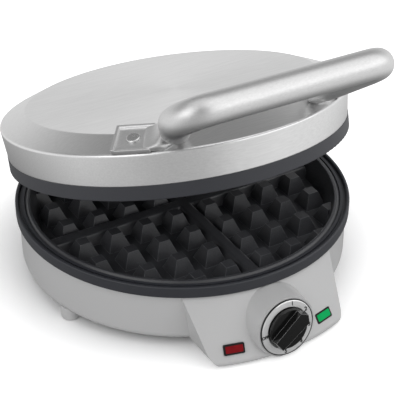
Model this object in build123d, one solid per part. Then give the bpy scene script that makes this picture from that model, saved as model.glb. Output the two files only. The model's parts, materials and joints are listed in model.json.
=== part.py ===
from build123d import *
import math
import os

# Belgian waffle maker: a round base with a control panel in front and a hinge
# housing behind, a hinged lid, two waffle plates and a bow handle. Millimetres,
# +Z up, -Y to the front. The lid is modelled shut and then raised to its rest angle.

# Round body
body_radius = 120.0
housing_inset = 2.2
wall = 2.4
base_height = 6.5
corner_radius = 7.0
rim_bottom = 43.8
rim_height = 7.7
sheet = 1.2
opening_inset = 12.0
fit_gap = 0.3

# Lid
lid_gap = 0.5
upper_collar_height = 9.7
lid_wall_height = 21.0
lid_bevel_height = 7.9
lid_flare = 1.8
lid_bevel_width = 18.9
lid_edge_radius = 2.0

# Hinge
hinge_behind = 32.0
hinge_rise = 9.2
hinge_pin_radius = 2.5
pin_clearance = 0.06
knuckle_radius = 8.5
knuckle_length = 65.0
ear_width = 11.0
ear_radius = 9.0
ear_side_gap = 0.5
lid_rest_angle = 14.3

# Rear hinge housing
tail_half_width = 46.0
tail_overhang = 9.0
tail_opening = 30.0
tail_corner = 12.0
tail_edge = 4.0

# Control panel
panel_x = -2.0
panel_top_half = 57.0
panel_foot_half = 50.5
panel_foot_corner = 11.0
panel_corner = 14.0
panel_bottom = 1.5
panel_reach = 24.0
panel_edge_radius = 3.0

# Dial, measured along the dial axis from the face of its boss
dial_tilt = 8.0
boss_reach = 20.0
dial_height = 22.0
boss_radius = 21.5
boss_flare = 0.14
boss_depth = 32.0
boss_overlap = 8.0
bezel_radius = 19.5
bezel_inner_radius = 14.8
bezel_height = 1.4
knob_radius = 14.3
knob_skirt = 3.8
knob_grip_height = 4.4
knob_grip_width = 12.0
knob_gap = 0.4
knob_hollow = 2.8
dial_rest_angle = 55.0
shaft_radius = 3.0
shaft_clearance = 0.06
shaft_tail = 4.7
knob_cap = 1.4
bush_radius = 4.3
nut_flats = 12.0
nut_height = 2.2
bush_proud = 0.2
thermostat_size = 22.0
thermostat_front = 18.0
thermostat_depth = 14.0

# Indicator windows
lamp_spacing = 35.0
lamp_height = 12.7
window_width = 14.0
window_height = 7.0
window_frame = 1.1
window_proud = 0.5

# Waffle plates
flange_inset = 6.9
plate_thickness = 3.5
plate_floor = 32.0
plate_floor_inset = 16.5
plate_back_inset = 14.0
ridge_inset = 8.6
ridge_width = 2.0
ridge_height = 50.9
ledge_height = 46.8
cone_pitch = 24.2
cone_first = 13.6
cone_count = 4
cone_base = 16.8
cone_top = 7.8
cone_height = 11.4
rib_width = 15.0
rib_top = 8.4
rib_height = 8.4
rib_round = 2.4

# Heating element, its pan and the plate screws
element_inset = 50.0
tube_radius = 3.25
element_gap_angle = 9.0
terminal_drop = 3.0
pan_depth = 9.5
pan_sheet = 0.8
pan_slope = 7.0
pan_inset = 7.0
plate_screw_outside = 14.0
screw_radius = 2.0
screw_head_radius = 4.0
screw_head = 2.4
screw_bite = 2.6
clip_width = 6.0
clip_sheet = 1.0
clip_foot = 4.0
clip_turn = 22.5

# Bosses in the housing
collar_boss_inset = 7.4
collar_boss_radius = 2.6
collar_screw_radius = 1.6
boss_post_radius = 4.0
collar_boss_bottom = 24.0
cover_post_inset = 4.4
cover_post_height = 14.0
cover_slots = 5
slot_pitch = 12.0
slot_width = 4.0
slot_length = 40.0
screw_slot = 1.0

# Feet
foot_radius = 6.5
foot_inset = 8.0
foot_angles = (73.0, 147.0)
front_pad_radius = 5.0
front_pad_x = 36.0
front_pad_inset = 22.0

# Handle
handle_reach = 36.0
handle_rise = 27.0
handle_half_width = 78.5
handle_radius = 9.8
handle_bend = 15.0
tab_angle = 40.5
tab_step = 7.3
tab_length = 25.0
tab_width = 24.0
tab_sheet = 2.2
tab_wall = 2.1
tab_wall_rise = 1.6
tab_corner = 2.0
neck_side = 29.0
neck_forward = 3.0
neck_lift = 9.5
neck_overlap = 4.0
rivet_radius = 4.4
rivet_head = 1.3
rivet_shank = 2.4

# Collars of the base and the lid
lip_width = 2.4
groove_width = 2.2
groove_depth = 2.5
land_drop = 1.2
collar_inner_inset = 9.2
collar_spigot = 2.0
spigot_rise = 3.0

# Wiring in the base
gland_x = 26.0
gland_height = 22.0
gland_radius = 5.5
gland_flange = 7.5
gland_flange_sheet = 2.0
gland_bore = 3.4
block_length = 30.0
block_depth = 14.0
block_height = 12.0
block_poles = 3
block_pitch = 9.0
block_well_radius = 2.4
block_well = 4.0
block_behind = 18.0
fuse_radius = 2.6
fuse_length = 14.0
fuse_x = 30.0
fuse_y = 40.0
wire_radius = 1.1
wire_rise = 1.8
wire_x = 6.0
wire_bend = 20.0
terminal_length = 5.0

# Arm of the lid and its studs
stud_radius = 4.0
arm_half_width = 38.0
arm_flange = 3.0
arm_screw_x = 35.0
arm_screw_rise = 4.0
arm_screw_length = 8.0
arm_rise = 8.0
arm_lift = 0.6

# Radii and places that follow from the ones above
opening_radius = body_radius - opening_inset
lid_crease_radius = body_radius + lid_flare
lid_top_radius = lid_crease_radius - lid_bevel_width
tab_circle = lid_top_radius + tab_step
hinge_y = body_radius + hinge_behind
panel_bottom_radius = body_radius + panel_reach
boss_face_y = body_radius + boss_reach
flange_radius = body_radius - flange_inset
ledge_radius = flange_radius + fit_gap
collar_inner_radius = body_radius - collar_inner_inset
plate_floor_radius = body_radius - plate_floor_inset
plate_back_radius = body_radius - plate_back_inset
ridge_radius = body_radius - ridge_inset
element_radius = body_radius - element_inset
plate_screw_circle = element_radius + plate_screw_outside
stud_circle = plate_screw_circle
pan_rim_radius = plate_back_radius - pan_inset
pan_base_radius = pan_rim_radius - pan_slope
collar_boss_circle = body_radius - collar_boss_inset
cover_post_circle = opening_radius - cover_post_inset
foot_circle = body_radius - foot_inset
front_pad_y = panel_bottom_radius - front_pad_inset
block_y = body_radius + block_behind
handle_y = body_radius + handle_reach

# Heights that follow
rim_top = rim_bottom + rim_height
lid_bottom = rim_top + lid_gap
meeting_height = (rim_top + lid_bottom) / 2
steel_bottom = lid_bottom + upper_collar_height
crease_height = steel_bottom + lid_wall_height
lid_top = crease_height + lid_bevel_height
handle_z = lid_top + handle_rise
hinge_z = rim_bottom + hinge_rise
housing_radius = body_radius - housing_inset
inner_radius = housing_radius - wall
plate_back = plate_floor - plate_thickness
pan_bottom = plate_back - pan_depth
tail_back = hinge_y + tail_overhang
tail_front_y = body_radius - tail_opening
panel_slope = (panel_bottom_radius - housing_radius) / (rim_bottom - panel_bottom)
slope_angle = math.degrees(math.atan(panel_slope))
dial_face = Plane(
    origin=(panel_x, -boss_face_y, dial_height),
    x_dir=(1, 0, 0),
    z_dir=(0, -math.cos(math.radians(dial_tilt)), math.sin(math.radians(dial_tilt))),
)
hinge_axis = Axis((0, hinge_y, hinge_z), (1, 0, 0))

# The outline at rest is centred on the origin in Y
front_reach = boss_face_y + knob_skirt + knob_grip_height
rear_reach = tail_back + gland_flange_sheet
centre_y = (front_reach - rear_reach) / 2


def turned(*points, rounds=()):
    """Solid turned about the Z axis; rounds are pairs of a point's number and a radius."""
    face = make_face(Plane.XZ * Polyline(*points, close=True))
    for number, radius in rounds:
        corner = Vector(points[number][0], 0, points[number][1])
        vertex = min(face.vertices(), key=lambda v: (Vector(*v) - corner).length)
        face = face.face().fillet_2d(radius, [vertex])
    return revolve(face, Axis.Z)


def block(x0, x1, y0, y1, z0, z1):
    """Box between two corners."""
    return Pos((x0 + x1) / 2, (y0 + y1) / 2, (z0 + z1) / 2) * Box(x1 - x0, y1 - y0, z1 - z0)


def rod(radius, z0, z1, x=0.0, y=0.0):
    """Upright cylinder between two heights."""
    return Pos(x, y, (z0 + z1) / 2) * Cylinder(radius, z1 - z0)


def rod_x(radius, x0, x1, y, z):
    """Cylinder along X."""
    return Pos((x0 + x1) / 2, y, z) * Rot(0, 90, 0) * Cylinder(radius, x1 - x0)


def rod_y(radius, y0, y1, x, z):
    """Cylinder along Y."""
    return Pos(x, (y0 + y1) / 2, z) * Rot(90, 0, 0) * Cylinder(radius, y1 - y0)


def around(radius, angle):
    """Point on a circle, its angle in degrees counted from the front towards the right."""
    turn = math.radians(angle)
    return radius * math.sin(turn), -radius * math.cos(turn)


def turn_to_lid(shape):
    """The same shape turned over into the lid, about the height where the plates meet."""
    return shape.mirror(Plane.XY.offset(meeting_height))


def on_dial(shape, depth=0.0):
    """Shape placed on the dial axis, with its own Z along the axis."""
    return dial_face * Pos(0, 0, depth) * shape


def dial_rod(radius, low, high):
    """Cylinder along the dial axis between two distances from the boss face."""
    return on_dial(Cylinder(radius, high - low), (low + high) / 2)


def at_window(side):
    """Plane of an indicator window on the sloped panel: side is -1 or 1."""
    radius = panel_bottom_radius - (lamp_height - panel_bottom) * panel_slope
    turn = math.asin(lamp_spacing / radius)
    tilt = math.radians(slope_angle)
    level = math.cos(tilt)
    outward = (side * math.sin(turn) * level, -math.cos(turn) * level, math.sin(tilt))
    place = (panel_x + side * lamp_spacing, -radius * math.cos(turn), lamp_height)
    along = (math.cos(turn), side * math.sin(turn), 0)
    return Plane(origin=place, x_dir=along, z_dir=outward)


def window_block(side, width, height, low, high):
    """Rounded block standing in an indicator window."""
    face = RectangleRounded(width, height, min(width, height) * 0.14)
    return extrude(at_window(side) * Pos(0, 0, low) * face, high - low)


cover_post_angles = [60, 120, 240, 300]
boss_angles = [60 * i + 30 for i in range(6)]
plate_screw_spots = [around(plate_screw_circle, 45 + 90 * i) for i in range(4)]
foot_spots = [around(foot_circle, side * angle) for side in (-1, 1) for angle in foot_angles]
thermostat_back = thermostat_front + thermostat_depth
shaft_tip = knob_skirt + knob_grip_height - knob_cap
wire_height = base_height + wall + wire_rise
arm_screw_height = lid_bottom + arm_screw_rise


def panel_solid(inset):
    """Cone sector of the control panel, moved in by the inset on every side."""
    low = panel_bottom + inset
    high = rim_bottom - inset
    cone = turned(
        (0, low),
        (panel_bottom_radius - inset * math.hypot(1, panel_slope), low),
        (housing_radius - inset + panel_slope * inset, high),
        (0, high),
        rounds=((1, panel_edge_radius),),
    )
    top = panel_top_half - inset
    foot = panel_foot_half - inset
    reach = panel_bottom_radius - inset * math.hypot(1, panel_slope)
    plan = (Circle(reach) & Pos(panel_x, -reach / 2) * Rectangle(2 * top, reach)).face()
    front_corners = plan.vertices().sort_by(Axis.Y)[:2]
    plan = plan.fillet_2d(panel_corner - inset, front_corners)
    view = make_face(Polyline((-top, high), (-foot, low), (foot, low), (top, high), close=True))
    view = view.face().fillet_2d(panel_foot_corner - inset, view.vertices().group_by(Axis.Y)[0])
    sides = extrude(Plane.XZ * Pos(panel_x, 0) * view, reach)
    return extrude(Pos(0, 0, low - wall) * plan, high - low + 2 * wall) & sides & cone


def tail_solid(inset):
    """Hinge housing behind the round body, moved in by the inset."""
    half = tail_half_width - inset
    reach = tail_back - inset
    plan = Pos(0, reach / 2) * Rectangle(2 * half, reach)
    low = base_height + inset
    solid = extrude(Pos(0, 0, low) * plan, rim_bottom - inset - low)
    edges = solid.edges().filter_by(Axis.Z).group_by(Axis.Y)[-1]
    solid = fillet(edges, tail_corner - inset)
    under = solid.edges().group_by(Axis.Z)[0].filter_by(lambda edge: edge.center().Y > 1)
    return fillet(under, tail_edge - inset)


def boss_solid(inset):
    """Conical boss that carries the dial, hollow when moved in."""
    face_radius = boss_radius - inset
    back_radius = face_radius + boss_flare * boss_depth
    cone = on_dial(Cone(back_radius, face_radius, boss_depth), -inset - boss_depth / 2)
    reach = 2 * back_radius
    return cone - block(-reach, reach, -2 * boss_face_y, 0, -reach, panel_bottom + inset)


def make_base_housing():
    """Moulded shell: round wall, control panel, hinge housing, ears, posts and bosses."""
    round_outer = turned(
        (0, base_height),
        (housing_radius, base_height),
        (housing_radius, rim_bottom),
        (0, rim_bottom),
        rounds=((1, corner_radius),),
    )
    round_inner = turned(
        (0, base_height + wall),
        (inner_radius, base_height + wall),
        (inner_radius, rim_bottom + 1),
        (0, rim_bottom + 1),
        rounds=((1, corner_radius - wall),),
    )
    rim_space = rod(body_radius + fit_gap, rim_bottom, rim_bottom + 30)
    above_floor = rod(opening_radius, panel_bottom - 1, base_height + wall)
    outer = round_outer + (panel_solid(0) - above_floor) + tail_solid(0)
    outer += boss_solid(0) - rim_space - rod(inner_radius, -10, rim_bottom + 30)
    inner_step = rod(opening_radius + wall, panel_bottom - 1, base_height + wall)
    tail_front = block(-tail_half_width, tail_half_width, 0, tail_front_y, base_height, rim_bottom)
    outer -= dial_rod(boss_radius, 0, boss_radius)
    shell = outer - round_inner - (panel_solid(wall) - inner_step)
    shell -= boss_solid(wall) - rod(inner_radius - boss_overlap, -10, rim_bottom + 30)
    shell -= tail_solid(wall) - tail_front
    shell -= rod(opening_radius, panel_bottom - 1, base_height + wall + 1)
    for side in (-1, 1):
        low_x = side * (knuckle_length / 2 + ear_side_gap + ear_width / 2) - ear_width / 2
        high_x = low_x + ear_width
        ear = rod_x(ear_radius, low_x, high_x, hinge_y, hinge_z)
        ear_back = hinge_y + ear_radius
        shell += ear + block(low_x, high_x, hinge_y - ear_radius, ear_back, rim_bottom - wall, hinge_z)
    for angle in boss_angles:
        x, y = around(collar_boss_circle, angle)
        top = rim_bottom - collar_spigot - fit_gap
        post = rod(collar_boss_radius, collar_boss_bottom, top, x, y)
        rib = Rot(0, 0, angle) * block(
            -wall / 2, wall / 2, -inner_radius - 1, -collar_boss_circle, collar_boss_bottom, top
        )
        shell += post + rib
        shell -= rod(collar_screw_radius + fit_gap, collar_boss_bottom, rim_bottom, x, y)
    for angle in cover_post_angles:
        x, y = around(cover_post_circle, angle)
        low = base_height + wall
        post = rod(boss_post_radius, low, low + cover_post_height, x, y)
        rib = Rot(0, 0, angle) * block(
            -wall / 2, wall / 2, -inner_radius - 1, -cover_post_circle, low, low + cover_post_height
        )
        shell += post + rib
        shell -= rod(screw_radius, 0, low + cover_post_height - wall, x, y)
    shell -= dial_rod(bush_radius + shaft_clearance, -wall - 1, 1)
    for side in (-1, 1):
        shell -= window_block(side, window_width + fit_gap, window_height + fit_gap, -9, 9)
    shell -= rod_y(gland_radius, tail_back - wall - 1, tail_back + 1, gland_x, gland_height)
    shell -= rod_x(hinge_pin_radius, -knuckle_length, knuckle_length, hinge_y, hinge_z)
    return shell


def make_cord_gland():
    """Bush in the back wall where the mains lead enters."""
    gland = rod_y(gland_radius, tail_back - wall, tail_back, gland_x, gland_height)
    inside = tail_back - wall - gland_flange_sheet
    gland += rod_y(gland_flange, tail_back, tail_back + gland_flange_sheet, gland_x, gland_height)
    gland += rod_y(gland_flange, inside, tail_back - wall, gland_x, gland_height)
    return gland - rod_y(gland_bore, tail_back - 20, tail_back + 20, gland_x, gland_height)


def make_bottom_cover():
    """Plate that closes the round opening in the floor of the housing."""
    low = base_height
    cover = rod(opening_radius - fit_gap, low, low + wall)
    for i in range(cover_slots):
        y = slot_pitch * (i - (cover_slots - 1) / 2)
        cover -= Pos(0, y, low) * Box(slot_length, slot_width, 4 * wall)
    for angle in cover_post_angles:
        x, y = around(cover_post_circle, angle)
        cover -= rod(screw_radius + fit_gap, 0, rim_bottom, x, y)
    return cover


def make_bottom_cover_screws():
    """Screws through the bottom cover into the posts of the housing."""
    screws = []
    for angle in cover_post_angles:
        x, y = around(cover_post_circle, angle)
        head = rod(screw_head_radius, base_height - screw_head, base_height, x, y)
        middle = base_height - screw_head / 2
        half = screw_slot / 2
        head -= block(x - screw_head_radius, x + screw_head_radius, y - half, y + half, 0, middle)
        tip = base_height + wall + cover_post_height - 2 * wall
        screws.append(head + rod(screw_radius, middle, tip, x, y))
    return screws


def make_feet():
    """Four moulded feet under the round body."""
    feet = []
    for x, y in foot_spots:
        foot = rod(foot_radius, 0, base_height + 4, x, y)
        foot = fillet(foot.edges().group_by(Axis.Z)[0], 2.0)
        hollow = turned(
            (0, base_height),
            (housing_radius + fit_gap / 2, base_height),
            (housing_radius + fit_gap / 2, rim_bottom),
            (0, rim_bottom),
            rounds=((1, corner_radius),),
        )
        feet.append(foot - hollow)
    return feet


def make_front_pads():
    """Two low pads under the control panel."""
    return [
        rod(front_pad_radius, 0, panel_bottom, panel_x + side * front_pad_x, -front_pad_y)
        for side in (-1, 1)
    ]


def make_lower_collar():
    """Dark heat-resistant ring on the wall, with a lip, a groove and a ledge for the plate."""
    lip_inner = body_radius - lip_width
    groove_inner = lip_inner - groove_width
    collar = turned(
        (body_radius, rim_bottom),
        (body_radius, rim_top),
        (lip_inner, rim_top),
        (lip_inner, rim_top - groove_depth),
        (groove_inner, rim_top - groove_depth),
        (groove_inner, rim_top - land_drop),
        (ledge_radius, rim_top - land_drop),
        (ledge_radius, ledge_height),
        (collar_inner_radius, ledge_height),
        (collar_inner_radius, rim_bottom - collar_spigot),
        (inner_radius - fit_gap, rim_bottom - collar_spigot),
        (inner_radius - fit_gap, rim_bottom),
        rounds=((1, 0.9), (2, 0.7)),
    )
    for angle in boss_angles:
        x, y = around(collar_boss_circle, angle)
        collar -= rod(collar_screw_radius, 0, ledge_height - 1, x, y)
    return collar


def make_collar_screws():
    """Screws that draw the collar down on the housing."""
    screws = []
    for angle in boss_angles:
        x, y = around(collar_boss_circle, angle)
        head = rod(collar_boss_radius, collar_boss_bottom - screw_head, collar_boss_bottom, x, y)
        screws.append(head + rod(collar_screw_radius, collar_boss_bottom, ledge_height - 1.2, x, y))
    return screws


def make_grid_plate():
    """Cast plate: rim, well, rows of truncated pyramids and the ribs that quarter the waffle."""
    plate = turned(
        (0, plate_back),
        (plate_back_radius, plate_back),
        (collar_inner_radius - fit_gap, ledge_height),
        (flange_radius, ledge_height),
        (flange_radius, ridge_height - 1.6),
        (ridge_radius, ridge_height),
        (ridge_radius - ridge_width, ridge_height),
        (plate_floor_radius, plate_floor),
        (0, plate_floor),
        rounds=((5, 0.6), (6, 0.8)),
    )
    sink = 0.5
    taper = math.degrees(math.atan((cone_base - cone_top) / 2 / cone_height))
    low = plate_floor - sink
    grown = cone_base + 2 * sink * math.tan(math.radians(taper))
    spots = []
    for i in range(cone_count):
        for j in range(cone_count):
            x = cone_first + cone_pitch * i
            y = cone_first + cone_pitch * j
            if math.hypot(x, y) < plate_floor_radius + cone_top:
                spots += [(sx * x, sy * y) for sx in (-1, 1) for sy in (-1, 1)]
    pyramid = extrude(Rectangle(grown, grown), cone_height + sink, taper=taper)
    pyramids = Compound([Pos(x, y, low) * pyramid for x, y in spots])
    well = turned(
        (0, low),
        (plate_floor_radius + 2, low),
        (ridge_radius - ridge_width + 1, ridge_height - 2),
        (0, ridge_height - 2),
    )
    ribs = []
    top = plate_floor + rib_height
    for turn in (0, 90):
        foot = rib_width / 2
        crown = rib_top / 2
        rib = make_face(Polyline((-foot, low), (foot, low), (crown, top), (-crown, top), close=True))
        rib = rib.face().fillet_2d(rib_round, rib.vertices().group_by(Axis.Y)[-1])
        rib = extrude(Plane.XZ * rib, plate_floor_radius + 1.5, both=True)
        ribs.append(Rot(0, 0, turn) * rib)
    for piece in pyramids.solids():
        plate += piece & well
    for rib in ribs:
        plate += rib
    for x, y in plate_screw_spots:
        plate -= rod(screw_radius, 0, plate_back + screw_bite, x, y)
    return plate


def make_heating_element():
    """Sheathed tube bent to a ring, with its two ends turned through the pan."""
    height = plate_back - 0.2 - tube_radius
    start = around(element_radius, 180 + element_gap_angle)
    end = around(element_radius, 180 - element_gap_angle)
    section = Plane.XZ * Pos(element_radius, height) * Circle(tube_radius)
    ring = Rot(0, 0, 90 + element_gap_angle) * revolve(section, Axis.Z, 360 - 2 * element_gap_angle)
    low = pan_bottom - terminal_drop
    for x, y in (start, end):
        ring += Pos(x, y, height) * Sphere(tube_radius)
        ring += rod(tube_radius, low + terminal_drop / 2, height, x, y)
        ring += rod(tube_radius * 0.4, low, height, x, y)
    return ring


def make_heat_shield():
    """Pressed pan that holds the heat against the plate."""
    pan = turned(
        (0, pan_bottom),
        (pan_base_radius, pan_bottom),
        (pan_rim_radius, plate_back),
        (pan_rim_radius - pan_sheet, plate_back),
        (pan_base_radius - pan_sheet, pan_bottom + pan_sheet),
        (0, pan_bottom + pan_sheet),
    )
    for x, y in plate_screw_spots:
        pan -= rod(screw_radius + fit_gap, 0, plate_floor, x, y)
    for side in (-1, 1):
        x, y = around(element_radius, 180 + side * element_gap_angle)
        pan -= rod(tube_radius + fit_gap, 0, plate_back - 1, x, y)
    return pan


def make_plate_screws():
    """Screws that hold the pan to the plate."""
    screws = []
    for x, y in plate_screw_spots:
        head = rod(screw_head_radius, pan_bottom - screw_head, pan_bottom, x, y)
        screws.append(head + rod(screw_radius, pan_bottom, plate_back + screw_bite - 0.2, x, y))
    return screws


def make_element_clips():
    """Four straps that press the element on the plate."""
    clips = []
    height = 2 * tube_radius + 0.4
    half = tube_radius + 0.3
    for i in range(4):
        low = plate_back - height - clip_sheet
        side = clip_width / 2
        outer = block(-side, side, -half - clip_sheet, half + clip_sheet, low, plate_back)
        outer -= block(-clip_width, clip_width, -half, half, low + clip_sheet, plate_back + 1)
        for edge in (-half - clip_sheet - clip_foot, half + clip_sheet):
            outer += block(-side, side, edge, edge + clip_foot, plate_back - clip_sheet, plate_back)
        clips.append(Rot(0, 0, clip_turn + 90 * i) * Pos(0, element_radius, 0) * outer)
    return clips


def make_thermostat():
    """Thermostat body behind the panel, with the threaded bush of its shaft."""
    middle = -(thermostat_front + thermostat_back) / 2
    body = on_dial(Box(thermostat_size, thermostat_size, thermostat_depth), middle)
    body += dial_rod(bush_radius + 2.4, -thermostat_front, -wall)
    body += dial_rod(bush_radius, -wall, nut_height + bush_proud)
    for side in (-1, 1):
        tab = block(-2.5, 2.5, -0.4, 0.4, -terminal_length, 0)
        body += on_dial(Pos(side * wire_x, 0, 0) * tab, -thermostat_back)
    bore_end = -thermostat_front - shaft_tail - fit_gap
    return body - dial_rod(shaft_radius + shaft_clearance, bore_end, shaft_tip)


def make_thermostat_nut():
    """Nut that clamps the bush on the boss."""
    nut = extrude(RegularPolygon(nut_flats / 2, 6, major_radius=False), nut_height)
    return on_dial(nut) - dial_rod(bush_radius, -1, nut_height + 1)


def shaft_flat():
    """The part left out of the shaft, and filled in the knob, so that they turn together."""
    flat = Pos(0, shaft_radius * 1.7, 0) * Box(4 * shaft_radius, 2 * shaft_radius, shaft_tip - knob_skirt)
    return on_dial(Rot(0, 0, 90 - dial_rest_angle) * flat, (shaft_tip + knob_skirt) / 2)


def make_thermostat_shaft():
    """Shaft turned by the knob, with a flat for it."""
    shaft = dial_rod(shaft_radius, -thermostat_front - shaft_tail, shaft_tip)
    return shaft - shaft_flat()


def make_dial_bezel():
    """Chrome ring round the knob that carries the numbers."""
    profile = make_face(
        Plane.XZ
        * Polyline(
            (bezel_inner_radius, 0),
            (bezel_radius, 0),
            (bezel_radius, bezel_height - 0.5),
            (bezel_radius - 0.6, bezel_height),
            (bezel_inner_radius + 0.3, bezel_height),
            (bezel_inner_radius, bezel_height - 0.3),
            close=True,
        )
    )
    return on_dial(revolve(profile, Axis.Z))


def make_dial_knob():
    """Round skirt with a raised grip across it, pointed at one end."""
    skirt = Cylinder(knob_radius, knob_skirt - knob_gap)
    skirt = fillet(skirt.edges().group_by(Axis.Z)[-1], 0.8)
    skirt = Pos(0, 0, (knob_skirt + knob_gap) / 2) * skirt
    half = knob_grip_width / 2
    tip = knob_radius + 1.2
    plan = make_face(
        Polyline(
            (-knob_radius + 0.6, -half * 0.8),
            (tip - 3.5, -half),
            (tip, 0),
            (tip - 3.5, half),
            (-knob_radius + 0.6, half * 0.8),
            close=True,
        )
    )
    grip = extrude(Pos(0, 0, knob_skirt - 0.6) * plan, knob_grip_height + 0.6, taper=6)
    knob = skirt + grip
    knob -= Pos(0, 0, (knob_hollow + knob_gap) / 2) * Cylinder(knob_radius - 2.5, knob_hollow - knob_gap)
    knob = on_dial(Rot(0, 0, 90 - dial_rest_angle) * knob)
    bore = dial_rod(shaft_radius, -1, shaft_tip)
    return knob - bore + (bore & shaft_flat())


def make_indicator_frames():
    """Dark frames snapped into the two windows of the panel."""
    frames = []
    for side in (-1, 1):
        frame = window_block(side, window_width, window_height, -wall - 0.8, window_proud)
        hole = window_block(side, window_width - 2 * window_frame, window_height - 2 * window_frame, -9, 9)
        frames.append(frame - hole)
    return frames


def make_lens(side):
    """Clear coloured window in its frame."""
    slack = 0.1
    width = window_width - 2 * window_frame - slack
    height = window_height - 2 * window_frame - slack
    return window_block(side, width, height, -wall - 0.6, window_proud + 0.2)


def make_indicator_lamps():
    """Neon lamps behind the lenses, each in its clip."""
    lamps = []
    for side in (-1, 1):
        holder = window_block(side, window_width - 2, window_height - 1, -wall - 3.4, -wall - 0.8)
        bulb = at_window(side) * Pos(0, 0, -wall - 6.5) * Cylinder(2.3, 7)
        lamps.append(holder + bulb)
    return lamps


def make_terminal_block():
    """Terminal block on the floor of the hinge housing."""
    low = base_height + wall
    middle = low + block_height / 2
    body = Pos(0, block_y, middle) * Box(block_length, block_depth, block_height)
    for i in range(block_poles):
        x = block_pitch * (i - (block_poles - 1) / 2)
        body -= rod(block_well_radius, low + block_height - block_well, low + block_height + 1, x, block_y)
    return body


def make_thermal_fuse():
    """Thermal fuse clipped under the pan."""
    low = pan_bottom - 2 * fuse_radius - 0.2
    fuse = rod_x(fuse_radius, fuse_x - fuse_length / 2, fuse_x + fuse_length / 2, fuse_y, low + fuse_radius)
    return fuse + block(fuse_x - 2.5, fuse_x + 2.5, fuse_y - 1.5, fuse_y + 6, pan_bottom - 1.0, pan_bottom)


def make_lead_wires():
    """Leads from the terminal block to the element's ends and to the thermostat."""
    wires = []
    front = block_y - block_depth / 2
    for side in (-1, 1):
        x, y = around(element_radius, 180 - side * element_gap_angle)
        reach = y + tube_radius
        height = pan_bottom - wire_radius - fit_gap
        wires.append(rod_y(wire_radius, reach, front, side * abs(x), height))
        spot = dial_face.from_local_coords((side * wire_x, 0, -thermostat_back - terminal_length - 1))
        line = FilletPolyline(
            (panel_x + side * wire_x, front, wire_height),
            (panel_x + side * wire_x, spot.Y + wire_bend, wire_height),
            (panel_x + side * wire_x, spot.Y, spot.Z),
            radius=wire_bend,
        )
        wires.append(sweep(Plane(origin=line @ 0, z_dir=line % 0) * Circle(wire_radius), path=line))
    return wires


def make_hinge_pin():
    """Steel pin held in the two ears, with a head at one end."""
    half = knuckle_length / 2 + ear_side_gap + ear_width
    pin = rod_x(hinge_pin_radius, -half, half + 1.5, hinge_y, hinge_z)
    return pin + rod_x(hinge_pin_radius + 1.6, -half - 1.5, -half, hinge_y, hinge_z)


def make_hinge_clip():
    """Retaining clip on the far end of the pin."""
    half = knuckle_length / 2 + ear_side_gap + ear_width
    clip = rod_x(hinge_pin_radius + 2.2, half, half + 1.0, hinge_y, hinge_z)
    return clip - rod_x(hinge_pin_radius, half - 1, half + 3, hinge_y, hinge_z)


def lid_shell(inset):
    """Outer form of the lid cover, moved in by the inset."""
    return turned(
        (0, steel_bottom - 1 if inset else steel_bottom),
        (body_radius - 0.4 - inset, steel_bottom - 1 if inset else steel_bottom),
        (lid_crease_radius - inset, crease_height - inset * 0.5),
        (lid_top_radius - inset * 0.4, lid_top - inset),
        (0, lid_top - inset),
        rounds=((2, lid_edge_radius), (3, lid_edge_radius)),
    )


def tab_plane(side):
    """Plane of a handle tab on the bevel of the lid, X along the tab and Z outwards."""
    slope = math.atan(lid_bevel_height / (lid_crease_radius - lid_top_radius))
    turn = math.radians(side * tab_angle)
    outward = (math.sin(slope) * math.sin(turn), -math.sin(slope) * math.cos(turn), math.cos(slope))
    drop = (tab_circle - lid_top_radius) / (lid_crease_radius - lid_top_radius) * lid_bevel_height
    x, y = around(tab_circle, side * tab_angle)
    return Plane(
        origin=(x, y, lid_top - drop),
        x_dir=(math.cos(turn), math.sin(turn), 0),
        z_dir=outward,
    )


def make_lid_cover():
    """Spun and brushed steel cover."""
    cover = lid_shell(0) - lid_shell(sheet)
    for side in (-1, 1):
        cover -= tab_plane(side) * Cylinder(rivet_shank, 20)
    return cover


def make_upper_collar():
    """Dark ring under the steel cover, with the ledge of the upper plate."""
    lip_inner = body_radius - lip_width
    groove_inner = lip_inner - groove_width
    spigot = body_radius - 0.4 - sheet - fit_gap
    drop = 2 * meeting_height
    collar = turned(
        (body_radius, lid_bottom),
        (body_radius, steel_bottom),
        (spigot, steel_bottom),
        (spigot, steel_bottom + spigot_rise),
        (collar_inner_radius, steel_bottom + spigot_rise),
        (collar_inner_radius, drop - ledge_height),
        (ledge_radius, drop - ledge_height),
        (ledge_radius, lid_bottom + land_drop),
        (groove_inner, lid_bottom + land_drop),
        (groove_inner, lid_bottom + groove_depth),
        (lip_inner, lid_bottom + groove_depth),
        (lip_inner, lid_bottom),
        rounds=((0, 0.9), (11, 0.7)),
    )
    for x in (-arm_screw_x, arm_screw_x):
        collar -= rod_y(screw_radius, collar_inner_radius / 2, body_radius + 5, x, arm_screw_height)
    return collar


def make_lid_studs():
    """Four studs welded inside the cover that the upper pan is drawn against."""
    top = lid_top - sheet
    low = 2 * meeting_height - pan_bottom
    studs = []
    for i in range(4):
        x, y = around(stud_circle, 90 * i)
        studs.append(rod(stud_radius, low, top, x, y))
    return studs


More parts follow.
